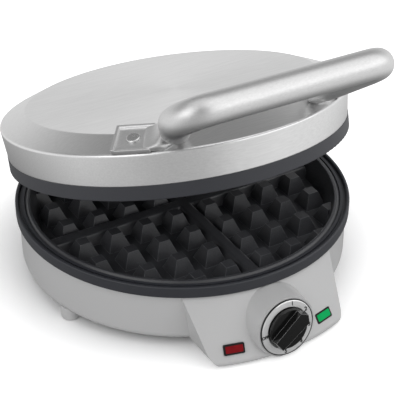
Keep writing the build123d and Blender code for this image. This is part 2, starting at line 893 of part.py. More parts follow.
def make_lid_hinge_arm():
    """Arm from the upper collar to the knuckle round the hinge pin."""
    low = lid_bottom + arm_lift
    high = hinge_z + arm_rise
    knuckle = rod_x(knuckle_radius, -knuckle_length / 2, knuckle_length / 2, hinge_y, hinge_z)
    web = block(-knuckle_length / 2 + 2, knuckle_length / 2 - 2, body_radius - 16, hinge_y, low, high)
    flange = rod(body_radius + arm_flange, low, high)
    flange &= block(-arm_half_width, arm_half_width, 0, hinge_y, low, high)
    arm = knuckle + web + flange
    arm -= rod(body_radius + 0.02, low - 1, high + 1)
    for x in (-arm_screw_x, arm_screw_x):
        arm -= rod_y(screw_radius + fit_gap, body_radius / 2, hinge_y, x, arm_screw_height)
    return arm - rod_x(hinge_pin_radius + pin_clearance, -knuckle_length, knuckle_length, hinge_y, hinge_z)


def make_lid_hinge_screws():
    """Screws through the flange of the arm into the upper collar."""
    screws = []
    for x in (-arm_screw_x, arm_screw_x):
        seat = math.sqrt((body_radius + arm_flange) ** 2 - (abs(x) - screw_head_radius) ** 2)
        head = rod_y(screw_head_radius, seat, seat + screw_head, x, arm_screw_height)
        screws.append(head + rod_y(screw_radius, seat - arm_screw_length, seat + 1, x, arm_screw_height))
    return screws


def handle_points():
    """Centre line of the handle's left half: neck, elbow and middle of the bar."""
    plane = tab_plane(-1)
    front = plane.from_local_coords((neck_side, -neck_forward, neck_lift))
    elbow = Vector(-handle_half_width, -handle_y, handle_z)
    return front, elbow, Vector(0, -handle_y, handle_z)


def make_handle():
    """Round bar in front of the lid, its ends turned back and flattened to trays on the bevel."""
    neck, elbow, middle = handle_points()
    line = FilletPolyline(tuple(neck), tuple(elbow), tuple(middle), radius=handle_bend)
    tube = sweep(Plane(origin=line @ 0, z_dir=line % 0) * Circle(handle_radius), path=line)
    plane = tab_plane(-1)
    tab = RectangleRounded(tab_length, tab_width, tab_corner)
    plate = extrude(plane * Pos(0, 0, fit_gap) * tab, tab_sheet + tab_wall_rise)
    tray_floor = fit_gap + tab_sheet
    plate -= plane * Pos(tab_wall, -tab_wall, tray_floor + tab_length / 2) * Box(tab_length, tab_width, tab_length)
    start = Plane(origin=line @ 0, x_dir=plane.y_dir, z_dir=line % 0)
    seat = Plane(
        origin=plane.from_local_coords((tab_length / 2 - neck_overlap, 0, fit_gap + tab_sheet / 2)),
        x_dir=plane.y_dir,
        z_dir=plane.x_dir,
    )
    neck_solid = loft([seat * Rectangle(tab_width - 2, tab_sheet), start * Circle(handle_radius)])
    half = tube + neck_solid + plate
    half -= plane * Cylinder(rivet_shank, 20)
    half -= plane * Pos(0, 0, fit_gap + tab_sheet + 5) * Cylinder(rivet_radius + 0.5, 10)
    return half + half.mirror(Plane.YZ)


def make_handle_rivets():
    """Rivets with a low round head outside and a formed tail inside."""
    rivets = []
    for side in (-1, 1):
        plane = tab_plane(side)
        top = fit_gap + tab_sheet
        head = Cylinder(rivet_radius, rivet_head)
        head = fillet(head.edges().group_by(Axis.Z)[-1], rivet_head * 0.6)
        tail = -sheet - 1.6
        rivet = Pos(0, 0, top + rivet_head / 2) * head
        rivet += Pos(0, 0, (top + tail) / 2) * Cylinder(rivet_shank, top - tail)
        rivet += Pos(0, 0, tail - 0.6) * Cylinder(rivet_radius - 0.6, 1.4)
        rivets.append(plane * rivet)
    return rivets


def listed(shapes):
    """Shapes as a list, whatever they come in."""
    return shapes if isinstance(shapes, list) else [shapes]


base_pieces = {
    "base_housing": make_base_housing(),
    "bottom_cover": make_bottom_cover(),
    "bottom_cover_screws": make_bottom_cover_screws(),
    "feet": make_feet(),
    "front_pads": make_front_pads(),
    "lower_collar": make_lower_collar(),
    "collar_screws": make_collar_screws(),
    "lower_grid_plate": make_grid_plate(),
    "lower_heating_element": make_heating_element(),
    "lower_element_clips": make_element_clips(),
    "lower_heat_shield": make_heat_shield(),
    "lower_plate_screws": make_plate_screws(),
    "thermostat": make_thermostat(),
    "thermostat_nut": make_thermostat_nut(),
    "dial_bezel": make_dial_bezel(),
    "indicator_frames": make_indicator_frames(),
    "red_indicator_lens": make_lens(-1),
    "green_indicator_lens": make_lens(1),
    "indicator_lamps": make_indicator_lamps(),
    "terminal_block": make_terminal_block(),
    "thermal_fuse": make_thermal_fuse(),
    "lead_wires": make_lead_wires(),
    "cord_gland": make_cord_gland(),
    "hinge_pin": make_hinge_pin(),
    "hinge_clip": make_hinge_clip(),
}

dial_pieces = {
    "dial_knob": make_dial_knob(),
    "thermostat_shaft": make_thermostat_shaft(),
}

lid_pieces = {
    "lid_cover": make_lid_cover(),
    "lid_studs": make_lid_studs(),
    "upper_collar": make_upper_collar(),
    "upper_grid_plate": turn_to_lid(base_pieces["lower_grid_plate"]),
    "upper_heating_element": turn_to_lid(base_pieces["lower_heating_element"]),
    "upper_element_clips": [turn_to_lid(clip) for clip in base_pieces["lower_element_clips"]],
    "upper_heat_shield": turn_to_lid(base_pieces["lower_heat_shield"]),
    "upper_plate_screws": [turn_to_lid(screw) for screw in base_pieces["lower_plate_screws"]],
    "lid_hinge_arm": make_lid_hinge_arm(),
    "lid_hinge_screws": make_lid_hinge_screws(),
    "handle": make_handle(),
    "handle_rivets": make_handle_rivets(),
}

os.makedirs("parts", exist_ok=True)
place = Pos(0, centre_y, 0)
for name, shapes in {**base_pieces, **dial_pieces, **lid_pieces}.items():
    solids = []
    for shape in listed(shapes):
        if name in lid_pieces:
            shape = shape.rotate(hinge_axis, -lid_rest_angle)
        solids += (place * shape).solids()
    export_step(solids[0] if len(solids) == 1 else Compound(solids), f"parts/{name}.step")

print("centre_y", round(centre_y, 3), "hinge", 0, round(hinge_y + centre_y, 3), round(hinge_z, 3))
print("dial point", [round(v, 3) for v in dial_face.origin + Vector(0, centre_y, 0)])
print("dial axis", [round(v, 5) for v in dial_face.z_dir])
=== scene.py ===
import json
import math

import bmesh
import bpy
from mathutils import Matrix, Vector


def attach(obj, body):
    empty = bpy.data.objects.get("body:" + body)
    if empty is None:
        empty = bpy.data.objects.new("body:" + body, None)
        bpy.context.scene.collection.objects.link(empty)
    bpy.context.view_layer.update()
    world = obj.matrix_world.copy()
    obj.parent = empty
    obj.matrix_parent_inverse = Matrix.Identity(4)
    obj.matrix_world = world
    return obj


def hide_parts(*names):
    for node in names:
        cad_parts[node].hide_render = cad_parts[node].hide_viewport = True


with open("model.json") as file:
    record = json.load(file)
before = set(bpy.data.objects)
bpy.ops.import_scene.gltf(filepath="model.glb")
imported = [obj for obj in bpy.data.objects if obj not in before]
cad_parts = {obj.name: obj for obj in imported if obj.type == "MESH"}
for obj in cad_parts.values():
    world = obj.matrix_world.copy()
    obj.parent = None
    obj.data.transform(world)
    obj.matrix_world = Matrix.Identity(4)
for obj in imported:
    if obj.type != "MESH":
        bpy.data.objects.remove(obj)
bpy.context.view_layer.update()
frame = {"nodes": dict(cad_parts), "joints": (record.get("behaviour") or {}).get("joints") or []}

# The camera's place: a long lens at the front left that looks down about 33 degrees,
# with the rim of the base filling most of the width of the picture.
camera_data = bpy.data.cameras.new("camera")
camera_data.lens = 106.9
camera_data.sensor_width = 36.0
camera = bpy.data.objects.new("camera", camera_data)
camera.location = (-0.3549, -0.6422, 0.5062)
aim = Vector((0.0081, -0.0186, 0.0453)) - camera.location
camera.rotation_euler = aim.to_track_quat("-Z", "Y").to_euler()
bpy.context.scene.collection.objects.link(camera)
bpy.context.scene.camera = camera
bpy.context.scene.view_settings.view_transform = "Standard"


# The studio: a white paper floor that keeps a soft shadow, partly cast and partly painted
# shadow where its whiteness is held back round the object, a pale room that the metal
# mirrors, and three large diffusers hung to the right, to the left and overhead.
def add_node(tree, kind, inputs=None, **settings):
    """A node with its settings, and its inputs from values or from other nodes' outputs."""
    made = tree.nodes.new(kind)
    for key, value in settings.items():
        setattr(made, key, value)
    for key, value in (inputs or {}).items():
        if isinstance(value, bpy.types.NodeSocket):
            tree.links.new(value, made.inputs[key])
        else:
            made.inputs[key].default_value = value
    return made


def math_node(tree, operation, first, second):
    """A sum, product or other plain operation on two values."""
    return add_node(tree, "ShaderNodeMath", {0: first, 1: second}, operation=operation).outputs[0]


def ramped(tree, value, start, end, low, high):
    """A value mapped from one span to another, and held at the ends."""
    spans = {"Value": value, "From Min": start, "From Max": end, "To Min": low, "To Max": high}
    return add_node(tree, "ShaderNodeMapRange", spans).outputs[0]


def either(tree, choose, first, second):
    """The first shader, or the second where the value is 1."""
    return add_node(tree, "ShaderNodeMixShader", {0: choose, 1: first.outputs[0], 2: second.outputs[0]})


# share of the way round the room, brightness
room_bands = (
    (0.0, 0.86), (0.12, 1.0), (0.27, 1.0), (0.34, 0.72), (0.4, 0.56), (0.46, 0.56), (0.53, 0.9), (0.6, 1.0),
    (0.78, 1.0), (0.9, 0.86), (1.0, 0.86),
)


def room_level(tree, place):
    """The parts of a place, and how bright the room is there: behind, left, front, right, behind."""
    where = add_node(tree, "ShaderNodeSeparateXYZ", {0: place})
    forward = math_node(tree, "MULTIPLY", where.outputs["Y"], -1.0)
    bearing = math_node(tree, "ARCTAN2", where.outputs["X"], forward)
    share = ramped(tree, bearing, start=-math.pi, end=math.pi, low=0.0, high=1.0)
    bands = add_node(tree, "ShaderNodeValToRGB", {"Fac": share})
    ramp = bands.color_ramp
    ramp.interpolation = "EASE"
    ramp.elements[0].position = room_bands[0][0]
    ramp.elements[1].position = room_bands[-1][0]
    for at, level in room_bands[1:-1]:
        ramp.elements.new(at)
    for element, (at, level) in zip(ramp.elements, room_bands):
        element.position = at
        element.color = (level, level, level, 1)
    return where, bands.outputs[0]


floor_mesh = bpy.data.meshes.new("floor")
floor_half = 4.0
corners = [(x * floor_half, y * floor_half, 0) for x, y in ((-1, -1), (1, -1), (1, 1), (-1, 1))]
floor_mesh.from_pydata(corners, [], [(0, 1, 2, 3)])
floor = bpy.data.objects.new("floor", floor_mesh)
bpy.context.scene.collection.objects.link(floor)
paper = bpy.data.materials.new("white_paper")
paper.use_nodes = True
tree = paper.node_tree
tree.nodes.clear()
path = add_node(tree, "ShaderNodeLightPath")
spot = add_node(tree, "ShaderNodeTexCoord").outputs["Object"]
away = add_node(tree, "ShaderNodeVectorMath", {0: spot}, operation="LENGTH").outputs["Value"]
# Painted shadow: the lift that whitens the floor for the camera is held back near the middle, so the floor
# round the object stays darker than the lit paper beyond.
painted_shadow_edge = 0.11
painted_shadow_end = 0.17
paper_lift = 0.6
clear = ramped(tree, away, start=painted_shadow_edge, end=painted_shadow_end, low=0.0, high=paper_lift)
lift = math_node(tree, "MULTIPLY", path.outputs["Is Camera Ray"], clear)
lit = add_node(tree, "ShaderNodeBsdfDiffuse", {"Color": (0.9, 0.9, 0.9, 1)})
glow = add_node(tree, "ShaderNodeEmission", {"Color": (1, 1, 1, 1), "Strength": lift})
seen = add_node(tree, "ShaderNodeAddShader", {0: lit.outputs[0], 1: glow.outputs[0]})
# Painted reflection: for glossy rays the floor glows by the room's bands and is painted darker near the
# object, a painted shade seen in the metal.
mirrored = ramped(tree, away, start=0.2, end=0.42, low=0.28, high=1.0)
banded = room_level(tree, spot)[1]
reflected = add_node(tree, "ShaderNodeEmission", {"Color": banded, "Strength": mirrored})
both = either(tree, path.outputs["Is Glossy Ray"], seen, reflected)
add_node(tree, "ShaderNodeOutputMaterial", {"Surface": both.outputs[0]})
floor_mesh.materials.append(paper)

world = bpy.data.worlds.new("studio")
bpy.context.scene.world = world
world.use_nodes = True
tree = world.node_tree
tree.nodes.clear()
path = add_node(tree, "ShaderNodeLightPath")
where, banded = room_level(tree, add_node(tree, "ShaderNodeTexCoord").outputs["Generated"])
ambient = add_node(tree, "ShaderNodeBackground", {"Color": (0.44, 0.44, 0.445, 1), "Strength": 1.0})
overhead_level = 0.22
height = ramped(tree, where.outputs["Z"], start=0.2, end=0.7, low=1.0, high=overhead_level)
mirrored = add_node(tree, "ShaderNodeBackground", {"Color": banded, "Strength": height})
white = add_node(tree, "ShaderNodeBackground", {"Color": (1, 1, 1, 1), "Strength": 1.0})
soft = either(tree, path.outputs["Is Glossy Ray"], ambient, mirrored)
all_rays = either(tree, path.outputs["Is Camera Ray"], soft, white)
add_node(tree, "ShaderNodeOutputWorld", {"Surface": all_rays.outputs[0]})

# name, place, size, watts
diffusers = (
    ("right_diffuser", (1.0, -1.1, 1.5), 2.6, 22.5),
    ("left_diffuser", (-1.4, -0.5, 1.2), 1.3, 8.0),
    ("top_diffuser", (-0.2, 0.1, 1.9), 1.8, 7.0),
)
lit_point = Vector((0, 0, 0.05))
for name, place, size, watts in diffusers:
    light = bpy.data.lights.new(name, "AREA")
    light.size = size
    light.energy = watts
    lamp = bpy.data.objects.new(name, light)
    lamp.location = place
    lamp.rotation_euler = (lit_point - lamp.location).to_track_quat("-Z", "Y").to_euler()
    bpy.context.scene.collection.objects.link(lamp)


# Base housing: one injection moulding in light grey plastic with a fine satin skin.
# The panel, the dial's boss and the hinge housing are part of it.
def shader_group(name, inputs, outputs):
    """An empty shader group with its named sockets: (name, kind, value)."""
    group = bpy.data.node_groups.new(name, "ShaderNodeTree")
    for label, kind, value in inputs:
        socket = group.interface.new_socket(label, in_out="INPUT", socket_type="NodeSocket" + kind)
        socket.default_value = value
    for label, kind in outputs:
        group.interface.new_socket(label, in_out="OUTPUT", socket_type="NodeSocket" + kind)
    return group, group.nodes.new("NodeGroupInput").outputs, group.nodes.new("NodeGroupOutput").inputs


def mix_colour(tree, factor, first, second):
    """Two colours mixed by a factor."""
    made = tree.nodes.new("ShaderNodeMix")
    made.data_type = "RGBA"
    for key, value in ((0, factor), (6, first), (7, second)):
        if isinstance(value, bpy.types.NodeSocket):
            tree.links.new(value, made.inputs[key])
        else:
            made.inputs[key].default_value = value
    return made.outputs[2]


def noise(tree, vector, scale, detail, rough=0.5):
    """Noise as a value from 0 to 1."""
    values = {"Vector": vector, "Scale": scale, "Detail": detail, "Roughness": rough}
    return add_node(tree, "ShaderNodeTexNoise", values).outputs["Fac"]


def about(tree, value, middle, spread):
    """Middle plus or minus the spread as the value goes from 0 to 1."""
    centred = math_node(tree, "SUBTRACT", value, 0.5)
    return math_node(tree, "ADD", middle, math_node(tree, "MULTIPLY", centred, spread))


def bumped(tree, pattern, rise, strength=1.0):
    """The surface's direction with a pattern raised on it."""
    values = {"Strength": strength, "Distance": rise, "Height": pattern}
    return add_node(tree, "ShaderNodeBump", values).outputs[0]


moulded_skin, given, result = shader_group(
    "moulded_skin",
    (
        ("Colour", "Color", (0.5, 0.5, 0.5, 1)),
        ("Shade", "Color", (0.4, 0.4, 0.4, 1)),
        ("Roughness", "Float", 0.4),
        ("Spread", "Float", 0.1),
        ("Cloud Scale", "Float", 18.0),
        ("Grain Scale", "Float", 2600.0),
        ("Grain Height", "Float", 0.00002),
    ),
    (("Colour", "Color"), ("Roughness", "Float"), ("Normal", "Vector")),
)
spot = add_node(moulded_skin, "ShaderNodeTexCoord").outputs["Object"]
cloud = noise(moulded_skin, spot, given["Cloud Scale"], detail=4.0)
grain = noise(moulded_skin, spot, given["Grain Scale"], detail=2.0)
shade = mix_colour(moulded_skin, cloud, given["Colour"], given["Shade"])
moulded_skin.links.new(shade, result["Colour"])
moulded_skin.links.new(about(moulded_skin, cloud, given["Roughness"], given["Spread"]), result["Roughness"])
moulded_skin.links.new(bumped(moulded_skin, grain, given["Grain Height"]), result["Normal"])


def material(name, group, values, shader):
    """A material whose colour, roughness and normal come from a shader group."""
    made = bpy.data.materials.new(name)
    made.use_nodes = True
    tree = made.node_tree
    tree.nodes.clear()
    surface = add_node(tree, "ShaderNodeGroup", node_tree=group)
    for key, value in values.items():
        surface.inputs[key].default_value = value
    body = add_node(
        tree,
        "ShaderNodeBsdfPrincipled",
        {
            "Base Color": surface.outputs["Colour"],
            "Roughness": surface.outputs["Roughness"],
            "Normal": surface.outputs["Normal"],
        },
    )
    for key, value in shader.items():
        body.inputs[key].default_value = value
    add_node(tree, "ShaderNodeOutputMaterial", {"Surface": body.outputs[0]})
    return made


nodes = frame["nodes"]


def dress(made, *names):
    """Gives CAD nodes a material."""
    for name in names:
        slots = nodes[name].data.materials
        slots.clear()
        slots.append(made)


def grey(level, tint=0.0):
    """A grey, a little blue where tint is positive."""
    return (level, level * (1 + 0.2 * tint), level * (1 + tint), 1)


grey_plastic = material(
    "satin_grey_plastic",
    moulded_skin,
    {"Colour": grey(0.52), "Shade": grey(0.49), "Roughness": 0.36, "Spread": 0.06, "Cloud Scale": 9.0,
     "Grain Scale": 1900.0, "Grain Height": 0.000012},
    {"Specular IOR Level": 0.5, "Coat Weight": 0.08, "Coat Roughness": 0.2},
)
dress(grey_plastic, "base_housing")

# Bottom cover: a flat moulding of the same plastic with vent slots, screwed to four
# posts inside the housing. It is seen only from below.
cover_plastic = material(
    "underside_plastic",
    moulded_skin,
    {"Colour": grey(0.42), "Shade": grey(0.36), "Roughness": 0.55, "Spread": 0.12, "Cloud Scale": 25.0,
     "Grain Scale": 1500.0, "Grain Height": 0.00004},
    {"Specular IOR Level": 0.4},
)
dress(cover_plastic, "bottom_cover")

# Feet: four short moulded studs of the grey plastic under the round body, and two
# rubber pads under the control panel. They pick up a little scuffing where they stand.
# The gland that the lead enters by, at the back, is of the same rubber as the pads.
foot_plastic = material(
    "foot_plastic",
    moulded_skin,
    {"Colour": grey(0.6), "Shade": grey(0.5), "Roughness": 0.45, "Spread": 0.15, "Cloud Scale": 120.0,
     "Grain Scale": 2200.0, "Grain Height": 0.00002},
    {"Specular IOR Level": 0.45},
)
dress(foot_plastic, "feet")
black_rubber = material(
    "black_rubber",
    moulded_skin,
    {"Colour": grey(0.02), "Shade": grey(0.035), "Roughness": 0.75, "Spread": 0.2, "Cloud Scale": 160.0,
     "Grain Scale": 3200.0, "Grain Height": 0.00005},
    {"Specular IOR Level": 0.3},
)
dress(black_rubber, "front_pads", "cord_gland")

# Collars: heat-resistant dark grey resin rings round the mouth of the base and of the
# lid. Each has a smooth lip, a groove, and a ledge on which the cast plate sits. The
# hinge arm, screwed to the lid's collar, is moulded in much the same resin.
collar_resin = material(
    "dark_collar_resin",
    moulded_skin,
    {"Colour": grey(0.026, 0.3), "Shade": grey(0.034, 0.28), "Roughness": 0.5, "Spread": 0.1,
     "Cloud Scale": 22.0, "Grain Scale": 2400.0, "Grain Height": 0.00002},
    {"Specular IOR Level": 0.5},
)
dress(collar_resin, "lower_collar", "upper_collar")
arm_resin = material(
    "hinge_arm_resin",
    moulded_skin,
    {"Colour": grey(0.04, 0.15), "Shade": grey(0.055, 0.15), "Roughness": 0.5, "Spread": 0.12,
     "Cloud Scale": 40.0, "Grain Scale": 2000.0, "Grain Height": 0.00003},
    {"Specular IOR Level": 0.45},
)
dress(arm_resin, "lid_hinge_arm")

# Waffle plates: cast aluminium sprayed with black non-stick coating, which has a slight
# orange peel. The edges of the pyramids are painted lighter, a painted highlight.
coated_casting, given, result = shader_group(
    "coated_casting",
    (
        ("Colour", "Color", (0.03, 0.03, 0.03, 1)),
        ("Worn", "Color", (0.08, 0.08, 0.08, 1)),
        ("Roughness", "Float", 0.35),
        ("Peel Scale", "Float", 700.0),
        ("Peel Height", "Float", 0.00004),
        ("Edge Highlight", "Color", (0.3, 0.3, 0.3, 1)),
        ("Edge Width", "Float", 0.0005),
    ),
    (("Colour", "Color"), ("Roughness", "Float"), ("Normal", "Vector")),
)
spot = add_node(coated_casting, "ShaderNodeTexCoord").outputs["Object"]
peel = noise(coated_casting, spot, given["Peel Scale"], detail=3.0)
patch = noise(coated_casting, spot, scale=35.0, detail=5.0, rough=0.6)
speck = noise(coated_casting, spot, scale=2400.0, detail=1.0)
worn = math_node(coated_casting, "MULTIPLY", patch, speck)
# Painted highlight: where the rounded direction parts from the flat one, near an edge, the colour goes over
# to the lighter edge colour.
rounded = add_node(coated_casting, "ShaderNodeBevel", {"Radius": given["Edge Width"]}, samples=6).outputs[0]
flat = add_node(coated_casting, "ShaderNodeNewGeometry").outputs["True Normal"]
facing = add_node(coated_casting, "ShaderNodeVectorMath", {0: rounded, 1: flat}, operation="DOT_PRODUCT")
edge = ramped(coated_casting, facing.outputs["Value"], start=0.995, end=0.93, low=0.0, high=1.0)
coat = mix_colour(coated_casting, worn, given["Colour"], given["Worn"])
coated_casting.links.new(mix_colour(coated_casting, edge, coat, given["Edge Highlight"]), result["Colour"])
dullness = about(coated_casting, patch, given["Roughness"], spread=0.16)
coated_casting.links.new(dullness, result["Roughness"])
coated_casting.links.new(bumped(coated_casting, peel, given["Peel Height"]), result["Normal"])
plate_coating = material(
    "non_stick_coating",
    coated_casting,
    {"Colour": grey(0.02, 0.2), "Worn": grey(0.12, 0.1), "Edge Highlight": grey(0.16, 0.1), "Roughness": 0.36},
    {"Specular IOR Level": 0.55},
)
dress(plate_coating, "lower_grid_plate", "upper_grid_plate")

# Heating elements, pans, clips and studs: sheathed tube elements gone straw and blue
# with heat, held by spring steel clips in pressed aluminised steel pans.
sheet_metal, given, result = shader_group(
    "sheet_metal",
    (
        ("Colour", "Color", (0.6, 0.6, 0.6, 1)),
        ("Stain", "Color", (0.4, 0.38, 0.35, 1)),
        ("Roughness", "Float", 0.35),
        ("Spread", "Float", 0.2),
        ("Stain Scale", "Float", 60.0),
    ),
    (("Colour", "Color"), ("Roughness", "Float"), ("Normal", "Vector")),
)
spot = add_node(sheet_metal, "ShaderNodeTexCoord").outputs["Object"]
stain = noise(sheet_metal, spot, given["Stain Scale"], detail=5.0, rough=0.6)
spangle = add_node(sheet_metal, "ShaderNodeTexVoronoi", {"Vector": spot, "Scale": 900.0})
sheet_metal.links.new(mix_colour(sheet_metal, stain, given["Colour"], given["Stain"]), result["Colour"])
sheet_metal.links.new(about(sheet_metal, stain, given["Roughness"], given["Spread"]), result["Roughness"])
spangled = bumped(sheet_metal, spangle.outputs["Distance"], rise=0.00002, strength=0.4)
sheet_metal.links.new(spangled, result["Normal"])
pan_steel = material(
    "aluminised_steel",
    sheet_metal,
    {"Colour": grey(0.62), "Stain": (0.5, 0.48, 0.44, 1), "Roughness": 0.34},
    {"Metallic": 1.0},
)
dress(pan_steel, "lower_heat_shield", "upper_heat_shield", "lid_studs")
element_sheath = material(
    "oxidised_sheath",
    sheet_metal,
    {"Colour": (0.2, 0.19, 0.17, 1), "Stain": (0.12, 0.1, 0.13, 1), "Roughness": 0.5, "Stain Scale": 90.0},
    {"Metallic": 1.0},
)
dress(element_sheath, "lower_heating_element", "upper_heating_element")
clip_steel = material(
    "spring_steel",
    sheet_metal,
    {"Colour": grey(0.5), "Stain": (0.4, 0.36, 0.3, 1), "Roughness": 0.3, "Stain Scale": 200.0},
    {"Metallic": 1.0},
)
dress(clip_steel, "lower_element_clips", "upper_element_clips")

# Screws, hinge pin and its clip: zinc-plated steel, bright with a faint yellow cast. The
# screws hold the cover, collars, pans and arm, and the pin and its clip hold the lid.
zinc_steel = material(
    "zinc_plated_steel",
    sheet_metal,
    {"Colour": grey(0.6), "Stain": (0.52, 0.5, 0.42, 1), "Roughness": 0.28, "Stain Scale": 300.0},
    {"Metallic": 1.0},
)
dress(
    zinc_steel, "bottom_cover_screws", "collar_screws", "lower_plate_screws", "upper_plate_screws",
    "lid_hinge_screws", "hinge_pin", "hinge_clip", "thermostat_shaft",
)

# Thermostat, terminal block, fuse and leads: brown phenolic, a brass nut and fuse, and
# leads in silicone sleeve. All of them sit inside the housing.
phenolic = material(
    "brown_phenolic",
    moulded_skin,
    {"Colour": (0.16, 0.09, 0.05, 1), "Shade": (0.22, 0.13, 0.07, 1), "Roughness": 0.4,
     "Cloud Scale": 260.0},
    {"Specular IOR Level": 0.5},
)
dress(phenolic, "thermostat", "terminal_block")
brass = material(
    "turned_brass",
    sheet_metal,
    {"Colour": (0.62, 0.45, 0.19, 1), "Stain": (0.5, 0.34, 0.14, 1), "Roughness": 0.3,
     "Stain Scale": 250.0},
    {"Metallic": 1.0},
)
dress(brass, "thermostat_nut", "thermal_fuse")
silicone = material(
    "silicone_sleeve",
    moulded_skin,
    {"Colour": (0.5, 0.48, 0.44, 1), "Shade": (0.42, 0.4, 0.36, 1), "Roughness": 0.6, "Cloud Scale": 150.0},
    {"Specular IOR Level": 0.35},
)
dress(silicone, "lead_wires")

# Indicator windows: clear coloured lenses in thin black frames, with a neon lamp behind
# each. The red one shows that the plates heat and the green one that they are ready.
lens_skin, given, result = shader_group(
    "lens_skin",
    (
        ("Colour", "Color", (0.5, 0.1, 0.1, 1)),
        ("Deep", "Color", (0.2, 0.0, 0.0, 1)),
        ("Roughness", "Float", 0.15),
    ),
    (("Colour", "Color"), ("Roughness", "Float"), ("Normal", "Vector")),
)
spot = add_node(lens_skin, "ShaderNodeTexCoord").outputs["Object"]
ribs = add_node(lens_skin, "ShaderNodeTexWave", {"Vector": spot, "Scale": 420.0, "Distortion": 0.4})
cloud = noise(lens_skin, spot, scale=260.0, detail=2.0)
lens_skin.links.new(mix_colour(lens_skin, cloud, given["Colour"], given["Deep"]), result["Colour"])
lens_skin.links.new(about(lens_skin, cloud, given["Roughness"], spread=0.1), result["Roughness"])
ribbed = bumped(lens_skin, ribs.outputs["Fac"], rise=0.00002, strength=0.3)
lens_skin.links.new(ribbed, result["Normal"])
red_lens = material(
    "red_lens", lens_skin, {"Colour": (0.26, 0.008, 0.012, 1), "Deep": (0.13, 0.003, 0.006, 1)},
    {"Specular IOR Level": 0.12},
)
green_lens = material(
    "green_lens", lens_skin, {"Colour": (0.0, 0.46, 0.13, 1), "Deep": (0.0, 0.34, 0.08, 1)},
    {"Specular IOR Level": 0.1},
)
dress(red_lens, "red_indicator_lens")
dress(green_lens, "green_indicator_lens")
window_black = material(
    "window_black",
    moulded_skin,
    {"Colour": grey(0.006), "Shade": grey(0.012), "Roughness": 0.4, "Cloud Scale": 200.0},
    {"Specular IOR Level": 0.2},
)
dress(window_black, "indicator_frames")
lamp_glass = material(
    "neon_lamp_glass",
    lens_skin,
    {"Colour": (0.8, 0.62, 0.5, 1), "Deep": (0.7, 0.42, 0.3, 1), "Roughness": 0.1},
    {"Specular IOR Level": 0.5, "Transmission Weight": 0.6},
)
dress(lamp_glass, "indicator_lamps")

# Dial ring: pressed ring with a bright satin chrome face, turned, so its fine grain
# runs round the knob. It is seated on the boss and carries the heat numbers.
turned_metal, given, result = shader_group(
    "turned_metal",
    (
        ("Colour", "Color", (0.8, 0.8, 0.8, 1)),
        ("Shade", "Color", (0.7, 0.7, 0.7, 1)),
        ("Roughness", "Float", 0.2),
        ("Spread", "Float", 0.1),
        ("Pitch", "Float", 1800.0),
    ),
    (("Colour", "Color"), ("Roughness", "Float"), ("Normal", "Vector")),
)
joints = {joint["name"]: joint for joint in frame["joints"]}
dial_centre = Vector(joints["dial_turn"]["pos_m"])
dial_tilt = math.radians(8.0)
spot = add_node(turned_metal, "ShaderNodeTexCoord").outputs["Object"]
ends = {0: spot, 1: tuple(dial_centre)}
away = add_node(turned_metal, "ShaderNodeVectorMath", ends, operation="DISTANCE")
turns = math_node(turned_metal, "MULTIPLY", away.outputs["Value"], given["Pitch"])
outwards = add_node(turned_metal, "ShaderNodeCombineXYZ", {0: turns}).outputs[0]
rings = noise(turned_metal, outwards, scale=1.0, detail=2.0)
turned_metal.links.new(mix_colour(turned_metal, rings, given["Colour"], given["Shade"]), result["Colour"])
turned_metal.links.new(about(turned_metal, rings, given["Roughness"], given["Spread"]), result["Roughness"])
turned_metal.links.new(bumped(turned_metal, rings, rise=0.00001, strength=0.5), result["Normal"])
ring_chrome = material(
    "satin_chrome",
    turned_metal,
    {"Colour": grey(0.9), "Shade": grey(0.78), "Roughness": 0.24},
    {"Metallic": 0.5},
)
dress(ring_chrome, "dial_bezel")


# Shadow line of the dial ring: a thin black hoop that stands round the ring's edge, a
# painted shadow of the gap there, drawn as one turned hoop.
def new_piece(name, mesh, made, body):
    """A finished piece from a mesh in the row frame, riding on its body."""
    mesh.materials.append(made)
    piece = bpy.data.objects.new(name, mesh)
    bpy.context.scene.collection.objects.link(piece)
    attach(piece, body)
    return piece


def on_dial(x, y, height):
    """A point of the dial's face in the row frame: x to the right, y up, height outwards."""
    right = Vector((1, 0, 0))
    up = Vector((0, math.sin(dial_tilt), math.cos(dial_tilt)))
    out = Vector((0, -math.cos(dial_tilt), math.sin(dial_tilt)))
    return dial_centre + right * x + up * y + out * height


def loft(rings, closed_round=False):
    """A skin through rings of equally many points, with flat ends or closed round on itself."""
    shape = bmesh.new()
    loops = [[shape.verts.new(point) for point in ring] for ring in rings]
    pairs = list(zip(loops, loops[1:])) + ([(loops[-1], loops[0])] if closed_round else [])
    for low, high in pairs:
        for i in range(len(low)):
            j = (i + 1) % len(low)
            shape.faces.new((low[i], low[j], high[j], high[i]))
    if not closed_round:
        shape.faces.new(list(reversed(loops[0])))
        shape.faces.new(loops[-1])
    bmesh.ops.recalc_face_normals(shape, faces=shape.faces)
    for face in shape.faces:
        face.smooth = True
    mesh = bpy.data.meshes.new("loft")
    shape.to_mesh(mesh)
    shape.free()
    return mesh


def dial_hoop(radius, thick, height, steps=96):
    """A square-section ring lying on the dial's face, with softened edges."""
    half = thick / 2
    soft = min(half, height) * 0.4
    section = (
        (radius - half, 0.0), (radius - half, height - soft), (radius - half + soft, height),
        (radius + half - soft, height), (radius + half, height - soft), (radius + half, 0.0),
    )
    rings = []
    for i in range(steps):
        turn = 2 * math.pi * i / steps
        rings.append([on_dial(r * math.cos(turn), r * math.sin(turn), h) for r, h in section])
    return loft(rings, closed_round=True)


